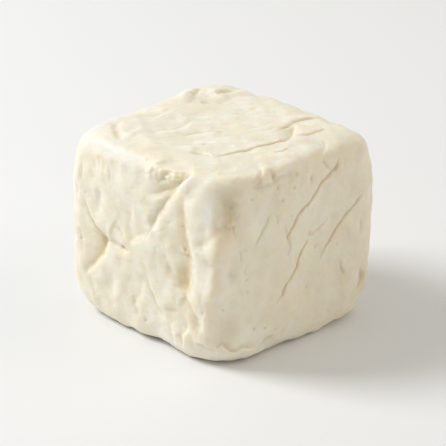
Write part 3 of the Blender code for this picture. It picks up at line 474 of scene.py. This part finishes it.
def roundedBlock(cube):
    # The unit form, sized and lifted. Each corner is drawn in by its wear times a power of the product x*y*z.
    form = unitForm(cube)
    atCorner = 3 ** (-3 / block["squareness"])
    nearness = (np.abs(form).prod(axis=1) / atCorner) ** block["wearSpread"]
    wear = np.zeros(len(cube))
    for corner, share in block["cornerWear"].items():
        wear += share * np.all(np.sign(cube) == corner, axis=1)
    return form * (1 - wear * nearness)[:, None] * half + middle


def outward(cube):
    # Unit normals of the rounded form, from the gradient of its p-norm
    gradient = np.sign(cube) * np.abs(unitForm(cube)) ** (block["squareness"] - 1) / half
    return gradient / np.linalg.norm(gradient, axis=1)[:, None]


def onCube(points):
    # Points of the squared-up block, pushed out to the surface of the cube from -1 to 1
    scaled = (np.asarray(points, float) - middle) / half
    return scaled / np.abs(scaled).max(axis=1)[:, None]


def smoothPath(points, samples=12):
    # A Catmull-Rom curve through the points, with the same number of samples in every span
    knots = np.asarray(points, float)
    knots = np.vstack([2 * knots[0] - knots[1], knots, 2 * knots[-1] - knots[-2]])
    t = np.linspace(0, 1, samples, endpoint=False)[:, None]
    spans = []
    for a, b, c, d in zip(knots, knots[1:], knots[2:], knots[3:]):
        spans.append(b + 0.5 * t * (c - a + t * (2 * a - 5 * b + 4 * c - d + t * (3 * (b - c) + d - a))))
    return np.vstack([*spans, knots[-2:-1]])


def smoothStep(t):
    # 3t^2 - 2t^3, held at 0 and 1 outside the range
    t = np.clip(t, 0, 1)
    return t * t * (3 - 2 * t)


def foldRelief(item, surface):
    # Section of a fold by the distance from its crease: a round shoulder on the high side, a bell-shaped dip
    # on the low side and a fine bell-shaped groove between them. All of it is scaled by the flare along the
    # path and fades at both ends. Gives the points near the fold, their height and how deep they are in it.
    cube = onCube(smoothPath(item["path"]))
    line, normal = roundedBlock(cube), outward(cube)
    forward = np.gradient(line, axis=0)
    forward /= np.linalg.norm(forward, axis=1)[:, None]
    leftward = np.cross(normal, forward)
    run = np.concatenate([[0], np.cumsum(np.linalg.norm(np.diff(line, axis=0), axis=1))])

    lobe = item["edge"] + 2 * item["reach"] if item["lift"] else item["edge"] * (item["sink"] > 0)
    bell = block["bellEnd"] * max(item["slope"] * (item["sink"] > 0), item["groove"])
    width = max(item["flare"]) * max(lobe, bell)
    near = np.flatnonzero(np.all((surface > line.min(0) - width) & (surface < line.max(0) + width), axis=1))
    points = surface[near]
    nearest = ((line ** 2).sum(axis=1) - 2 * points @ line.T).argmin(axis=1)
    offset = points - line[nearest]
    place = (run[nearest] + (offset * forward[nearest]).sum(axis=1)) / run[-1]
    size = np.interp(place, (0, 1), item["flare"])
    side = (offset * leftward[nearest]).sum(axis=1) / size
    ends = smoothStep(place / item["fades"][0]) * smoothStep((1 - place) / item["fades"][1])

    raised = (side + np.hypot(side, item["soft"])) / 2
    shoulder = 1 - (1 - np.clip(raised / item["edge"], 0, 1)) ** 2
    behind = np.exp(-((np.maximum(side - item["edge"], 0) / item["reach"]) ** 2))
    dip = np.exp(-(((raised - side) / item["slope"]) ** item["bowl"]))
    groove = np.exp(-((side / item["groove"]) ** 2))
    height = ends * size * (shoulder * (item["sink"] + item["lift"] * behind) - item["sink"] * dip
                            - item["cut"] * groove)
    # The depth below is painted as shade: tan down the dip's low side, at the foot of the high edge and in
    # the fine groove
    shadePaint = block["shadePaint"]
    lowSide = shadePaint["low"] * item["slope"] if item["sink"] else item["groove"]
    bottom = np.exp(-((side / np.where(side < 0, lowSide, shadePaint["high"] * item["edge"])) ** 2))
    depth = ends * size * bottom * (shadePaint["sink"] * item["sink"] + shadePaint["lift"] * item["lift"])
    depth += ends * size * groove * max(item["cut"], 0)
    return near, height, depth


def swellRelief(item, surface):
    # A bell curve of the distance from the centre, measured in the swell's radii
    centre, radii, height = item
    onSurface = roundedBlock(onCube([centre]))
    return height * np.exp(-(((surface - onSurface) / radii) ** 2).sum(axis=1))


def ripple(size, surface, rng):
    # Plane waves of about one size added up, in directions and phases from the seeded generator
    waves = block["waves"]
    directions = rng.normal(size=(waves, 3))
    directions /= np.linalg.norm(directions, axis=1)[:, None]
    lengths = size * rng.uniform(*block["waveSizes"], waves)
    phases = rng.uniform(0, 2 * np.pi, waves)
    turns = surface @ (directions * (2 * np.pi / lengths)[:, None]).T + phases
    return np.sqrt(2 / waves) * np.sin(turns).sum(axis=1)


def scatteredMarks(rng):
    # Scratches and pits at random places on every side but the underside. A scratch is a fold along a short,
    # slightly bent path: its middle, and its ends a half length away along the heading.
    folds, dents = [], []
    reach = half * scratches["within"]
    sides = [("top", top, reach[0], reach[1], 0)]
    for place, across in ((front, 0), (back, 0), (left, 1), (right, 1)):
        sides.append(("side", place, reach[across], reach[2], middle[2]))
    for kind, place, wide, tall, centre in sides:
        mark = scratches[kind]
        count = mark["count"]
        u, v = rng.uniform(-wide, wide, count), rng.uniform(-tall, tall, count) + centre
        turn = np.radians(mark["heading"] + rng.uniform(-1, 1, count) * mark["spread"])
        span = rng.uniform(*mark["length"], count) / 2
        bend = rng.uniform(-scratches["bend"], scratches["bend"], count) * span
        cut, groove = rng.uniform(*mark["cut"], count), rng.uniform(*mark["groove"], count)
        du, dv = np.cos(turn) * span, np.sin(turn) * span
        for i in range(count):
            path = [place(u[i] - du[i], v[i] - dv[i]), place(u[i] - dv[i] / span[i] * bend[i], v[i]),
                    place(u[i] + du[i], v[i] + dv[i])]
            folds.append(fold(path, cut=cut[i], groove=groove[i], fades=(0.4, 0.4)))
        pitPlaces = rng.uniform(-1, 1, (scratches["pits"], 2)) * (wide, tall) + (0, centre)
        radius = rng.uniform(*scratches["pitRadius"], scratches["pits"])
        depth = rng.uniform(*scratches["pitDepth"], scratches["pits"])
        dents += [(place(*pitPlaces[i]), radius[i], depth[i]) for i in range(scratches["pits"])]
    return folds, dents


def curdRelief(surface):
    # The sum of all ripples, swells, folds and marks at each point, and the depth of the creases there, which
    # is painted tan as shade, or whiter as a highlight where it is below 0
    rng = np.random.default_rng(block["shapeSeed"])
    height = np.zeros(len(surface))
    depth = np.zeros(len(surface))
    for size, amount in block["ripples"]:
        height += amount * ripple(size, surface, rng)
    for item in swells:
        height += swellRelief(item, surface)
    size, amount = block["wander"]
    wandered = surface + amount * np.stack([ripple(size, surface, rng) for _ in range(3)], axis=1)

    rng = np.random.default_rng(block["detailSeed"])
    for size, amount in block["fineRipples"]:
        height += amount * ripple(size, surface, rng)
    size, amount = block["jitter"]
    wandered += amount * np.stack([ripple(size, surface, rng) for _ in range(3)], axis=1)
    # Each fold's depth is kept for the painted shade in its crease
    for item in rimFolds + frontFolds + rightFolds + topFolds + backFolds + leftFolds + underFolds:
        near, foldHeight, foldShadeDepth = foldRelief(item, wandered)
        height[near] += foldHeight
        depth[near] = np.maximum(depth[near], foldShadeDepth)
    for centre, spread, count, radii, lump in crumbs:
        places = centre + rng.normal(size=(count, 3)) * spread
        sizes, shares = rng.uniform(*radii, count), rng.uniform(*block["lumpShares"], count)
        for place, radius, share in zip(places, sizes, shares):
            height += swellRelief((place, (radius, radius, radius), share * lump), wandered)
    print("folds and crumbs done")

    # Painted shade where the strength is above 0 and painted highlight where it is below, added to the depth
    for centre, radii, strength in shadeAndHighlightSpots:
        depth += swellRelief((centre, radii, strength), surface)
    scratchFolds, scatteredPits = scatteredMarks(rng)
    for item in scratchFolds:
        near, foldHeight, foldShadeDepth = foldRelief(item, wandered)
        height[near] += foldHeight
        depth[near] = np.maximum(depth[near], foldShadeDepth)
    # Each pit is sunk into the surface, and its dent is also added to the depth that is painted tan as shade
    for centre, radius, sunk in pits + scatteredPits:
        dent = swellRelief((centre, (radius, radius, radius), sunk), wandered)
        height -= dent
        depth += dent
    print("scratches and pits done")
    return height, depth


def cubeGrid(cells):
    # The six sides of a cube as one closed grid: whole-number points, shared where two sides meet and scaled
    # to lie from -1 to 1, and quads that face outward
    steps = np.arange(cells + 1)
    u, v = (side.ravel() for side in np.meshgrid(steps, steps, indexing="ij"))
    sides = []
    for axis in range(3):
        for end in (0, cells):
            points = np.empty((len(u), 3), int)
            points[:, axis] = end
            points[:, (axis + 1) % 3] = u
            points[:, (axis + 2) % 3] = v
            sides.append(points)
    points = np.vstack(sides)
    keys = (points[:, 0] * (cells + 1) + points[:, 1]) * (cells + 1) + points[:, 2]
    _, first, number = np.unique(keys, return_index=True, return_inverse=True)
    corner = (steps[:-1, None] * (cells + 1) + steps[None, :-1]).ravel()
    quad = np.stack([corner, corner + cells + 1, corner + cells + 2, corner + 1], axis=1)
    quads = []
    for side in range(6):
        turned = quad if side % 2 else quad[:, ::-1]
        quads.append(number.ravel()[turned + side * len(u)])
    return points[first] * (2 / cells) - 1, np.vstack(quads)


def meshFrom(name, points, quads, attributes):
    # A smooth mesh of the points and quads, with one value at each point for every named attribute
    mesh = bpy.data.meshes.new(name)
    mesh.vertices.add(len(points))
    mesh.vertices.foreach_set("co", (points * mm).astype(np.float32).ravel())
    mesh.loops.add(quads.size)
    mesh.loops.foreach_set("vertex_index", quads.astype(np.int32).ravel())
    mesh.polygons.add(len(quads))
    mesh.polygons.foreach_set("loop_start", np.arange(0, quads.size, 4, dtype=np.int32))
    mesh.update(calc_edges=True)
    for label, values in attributes.items():
        layer = mesh.attributes.new(label, "FLOAT", "POINT")
        layer.data.foreach_set("value", values.astype(np.float32))
    mesh.validate()
    mesh.shade_smooth()
    return mesh


def thinned(mesh, triangles):
    # Collapses the flattest edges down to about that number of triangles, so that the folds keep the most
    piece = bpy.data.objects.new("unthinned", mesh)
    bpy.context.scene.collection.objects.link(piece)
    thin = piece.modifiers.new("thin", "DECIMATE")
    thin.ratio = min(1, triangles / (2 * len(mesh.polygons)))
    thin.use_collapse_triangulate = True
    ready = piece.evaluated_get(bpy.context.evaluated_depsgraph_get())
    result = bpy.data.meshes.new_from_object(ready)
    bpy.data.objects.remove(piece)
    return result


def fill(tree, socket, value):
    # Links a node's output to the socket, or sets the socket to a number or colour
    if isinstance(value, bpy.types.NodeSocket):
        tree.links.new(value, socket)
    else:
        socket.default_value = value


def noise(tree, place, size, detail=3.0):
    # Cloudy noise with lumps of about the given size in millimetres
    mapping = tree.nodes.new("ShaderNodeMapping")
    tree.links.new(place, mapping.inputs["Vector"])
    mapping.inputs["Scale"].default_value = [1 / (size * mm)] * 3
    node = tree.nodes.new("ShaderNodeTexNoise")
    tree.links.new(mapping.outputs["Vector"], node.inputs["Vector"])
    node.inputs["Scale"].default_value = 1
    node.inputs["Detail"].default_value = detail
    return node.outputs["Fac"]


def remap(tree, value, low, high, strength=1.0):
    # A straight ramp from 0 at low to the strength at high, held beyond both
    node = tree.nodes.new("ShaderNodeMapRange")
    fill(tree, node.inputs["Value"], value)
    for label, number in (("From Min", low), ("From Max", high), ("To Min", 0), ("To Max", strength)):
        node.inputs[label].default_value = number
    return node.outputs["Result"]


def mixColours(tree, share, first, second):
    # first * (1 - share) + second * share, where 6, 7 and 2 are the numbers of the node's colour sockets
    node = tree.nodes.new("ShaderNodeMix")
    node.data_type = "RGBA"
    fill(tree, node.inputs[0], share)
    fill(tree, node.inputs[6], first)
    fill(tree, node.inputs[7], second)
    return node.outputs[2]


def bumped(tree, height, distance, normal=None):
    # distance is the height in metres of a full step of the height value
    node = tree.nodes.new("ShaderNodeBump")
    node.inputs["Strength"].default_value = 1
    node.inputs["Distance"].default_value = distance
    tree.links.new(height, node.inputs["Height"])
    if normal is not None:
        tree.links.new(normal, node.inputs["Normal"])
    return node.outputs["Normal"]


curd = {
    "cream": (0.825, 0.763, 0.612, 1),
    "ivory": (0.855, 0.81, 0.69, 1),
    "butter": (0.78, 0.71, 0.55, 1),
    # Painted highlight: a whiter, less yellow colour where the light catches rims and lobes
    "highlightWhite": (0.765, 0.76, 0.73, 1),
    # Painted shade: the tan laid in creases, pits and shaded hollows
    "shadeTan": (0.60, 0.46, 0.23, 1),
    # Each pattern's size in millimetres, the values that it runs between, and its strength
    "clouds": (11, (0.38, 0.64), 1),
    "blotches": (6.5, (0.50, 0.68), 0.4),
    "mottles": (2.6, (0.50, 0.72), 0.5),
    # Painted shade: the depths between which the tan grows, and its largest share
    "creases": ((0.08, 1.6), 0.9),
    # Painted highlight: the depths below 0 over which the curd turns to that white
    "paintedHighlight": (-0.02, -0.5),
    "roughness": 0.56,
    "glow": 1.0,  # share of the light that goes into the curd
    "glowDepth": 0.0022,  # how far it wanders there, in metres
    "glowColours": (1.0, 0.70, 0.40),
    "lumps": (2.2, 0.00016),  # size in millimetres and height in metres
    "grain": (0.5, 0.00003),
}


def curdMaterial():
    # Cream and ivory clouds with butter-coloured blotches, tan painted shade in the creases, pits and shaded
    # hollows, and a whiter painted highlight where the light catches. Light enters the curd, and two bumps
    # give it small lumps and a fine grain.
    material = bpy.data.materials.new("halloumiCurd")
    material.use_nodes = True
    tree = material.node_tree
    shader = tree.nodes["Principled BSDF"]
    place = tree.nodes.new("ShaderNodeTexCoord").outputs["Object"]
    # This attribute carries the painted shade, and the painted highlight where it is below 0
    shadePaintNode = tree.nodes.new("ShaderNodeAttribute")
    shadePaintNode.attribute_name = "paintedShadeAndHighlight"

    patterns = []
    for name, detail in (("clouds", 3), ("blotches", 4), ("mottles", 4)):
        size, between, strength = curd[name]
        patterns.append(remap(tree, noise(tree, place, size, detail), *between, strength))
    clouds, blotches, mottles = patterns
    # Painted shade: share of the tan from the depth
    between, strength = curd["creases"]
    creases = remap(tree, shadePaintNode.outputs["Fac"], *between, strength)
    # Painted highlight: share of the white where the depth is below 0
    paintedHighlightShare = remap(tree, shadePaintNode.outputs["Fac"], *curd["paintedHighlight"])
    colour = mixColours(tree, clouds, curd["cream"], curd["ivory"])
    colour = mixColours(tree, blotches, colour, curd["butter"])
    colour = mixColours(tree, mottles, colour, curd["butter"])
    colour = mixColours(tree, paintedHighlightShare, colour, curd["highlightWhite"])
    colour = mixColours(tree, creases, colour, curd["shadeTan"])
    tree.links.new(colour, shader.inputs["Base Color"])

    shader.inputs["Roughness"].default_value = curd["roughness"]
    shader.inputs["Subsurface Weight"].default_value = curd["glow"]
    shader.inputs["Subsurface Scale"].default_value = curd["glowDepth"]
    shader.inputs["Subsurface Radius"].default_value = curd["glowColours"]

    size, height = curd["lumps"]
    normal = bumped(tree, noise(tree, place, size, detail=2), height)
    size, height = curd["grain"]
    normal = bumped(tree, noise(tree, place, size, detail=3), height, normal)
    tree.links.new(normal, shader.inputs["Normal"])
    return material


def halloumiBlock():
    # surface = rounded block + outward normal * relief, centred in plan and held at 0 where it rests
    cube, quads = cubeGrid(block["cells"])
    surface = roundedBlock(cube)
    height, depth = curdRelief(surface)
    surface += outward(cube) * height[:, None]
    surface[:, :2] -= (surface[:, :2].min(axis=0) + surface[:, :2].max(axis=0)) / 2
    surface[:, 2] = np.maximum(surface[:, 2], 0)
    # The depth goes onto the mesh for the painted shade and painted highlight
    mesh = thinned(meshFrom("halloumi", surface, quads, {"paintedShadeAndHighlight": depth}), block["triangles"])
    mesh.name = "halloumi"
    mesh.materials.clear()
    mesh.materials.append(curdMaterial())
    mesh.shade_smooth()
    piece = bpy.data.objects.new("halloumi", mesh)
    bpy.context.scene.collection.objects.link(piece)
    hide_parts("halloumi_block")
    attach(piece, "root")
    print("block done:", len(mesh.polygons), "triangles")
    return piece


table = {
    "size": 6.0,  # metres
    "drop": 0.00005,  # metres below the block, so that the two don't share a surface
    "colour": (0.83, 0.825, 0.82, 1),
    "roughness": 0.6,
}


def paleTable():
    # A flat square of one face, its corners half its size from the middle
    edge = table["size"] / 2
    corners = [(-edge, -edge, 0), (edge, -edge, 0), (edge, edge, 0), (-edge, edge, 0)]
    mesh = bpy.data.meshes.new("paleTable")
    mesh.from_pydata([(x, y, -table["drop"]) for x, y, _ in corners], [], [(0, 1, 2, 3)])
    material = bpy.data.materials.new("paleTable")
    material.use_nodes = True
    shader = material.node_tree.nodes["Principled BSDF"]
    shader.inputs["Base Color"].default_value = table["colour"]
    shader.inputs["Roughness"].default_value = table["roughness"]
    mesh.materials.append(material)
    piece = bpy.data.objects.new("paleTable", mesh)
    bpy.context.scene.collection.objects.link(piece)
    print("table done")


# Azimuth 0 is a look from the front along +Y, and 90 is a look from the right side
lights = {
    "key": {"azimuth": -53.0, "elevation": 42.0, "distance": 1.1, "size": 0.45, "power": 9.6,
            "colour": (0.945, 0.97, 1.0)},
    "fill": {"azimuth": 132.0, "elevation": 30.0, "distance": 1.2, "size": 1.0, "power": 3.4,
             "colour": (1.0, 0.90, 0.77)},
    "sky": 0.50,
    "skyColour": (1.0, 0.995, 0.96, 1),
}
camera = {
    "azimuth": 47.2,
    "elevation": 23.3,
    "distance": 842.0,  # from the aim
    "pixelsWide": 446,
    "focalPixels": 3000.0,
    "sensor": 36.0,  # its width
    "aim": (0.31, 26.7),  # to the right of the middle in the view, and above the table
}


def towards(azimuth, elevation):
    # Unit vector from the block to a point seen at that azimuth and elevation
    turn, rise = np.radians([azimuth, elevation])
    return Vector((np.sin(turn) * np.cos(rise), -np.cos(turn) * np.cos(rise), np.sin(rise)))


def pointAt(item, place, aim):
    # Puts a light or camera at the place, with its -Z axis along aim - place
    item.location = place
    item.rotation_euler = (aim - place).to_track_quat("-Z", "Y").to_euler()
    bpy.context.scene.collection.objects.link(item)


def studioLight():
    # Each lamp stands at centre + direction * distance, and a soft sky fills the rest
    centre = Vector((0, 0, block["height"] * mm / 2))
    for name in ("key", "fill"):
        setting = lights[name]
        lamp = bpy.data.lights.new(name, "AREA")
        lamp.size = setting["size"]
        lamp.energy = setting["power"]
        lamp.color = setting["colour"]
        direction = towards(setting["azimuth"], setting["elevation"])
        pointAt(bpy.data.objects.new(name, lamp), centre + direction * setting["distance"], centre)
    world = bpy.data.worlds.new("softSky")
    world.use_nodes = True
    world.node_tree.nodes["Background"].inputs["Strength"].default_value = lights["sky"]
    world.node_tree.nodes["Background"].inputs["Color"].default_value = lights["skyColour"]
    bpy.context.scene.world = world
    bpy.context.scene.view_settings.view_transform = "Standard"
    print("lights done")


def photoCamera():
    # Focal length = sensor width * focal pixels / picture width
    lens = bpy.data.cameras.new("camera")
    lens.sensor_width = camera["sensor"]
    lens.lens = camera["sensor"] * camera["focalPixels"] / camera["pixelsWide"]
    turn = np.radians(camera["azimuth"])
    aside, up = camera["aim"]
    aim = Vector((np.cos(turn) * aside, np.sin(turn) * aside, up)) * mm
    item = bpy.data.objects.new("camera", lens)
    pointAt(item, aim + towards(camera["azimuth"], camera["elevation"]) * camera["distance"] * mm, aim)
    bpy.context.scene.camera = item
    print("camera done")


halloumiBlock()
paleTable()
studioLight()
photoCamera()
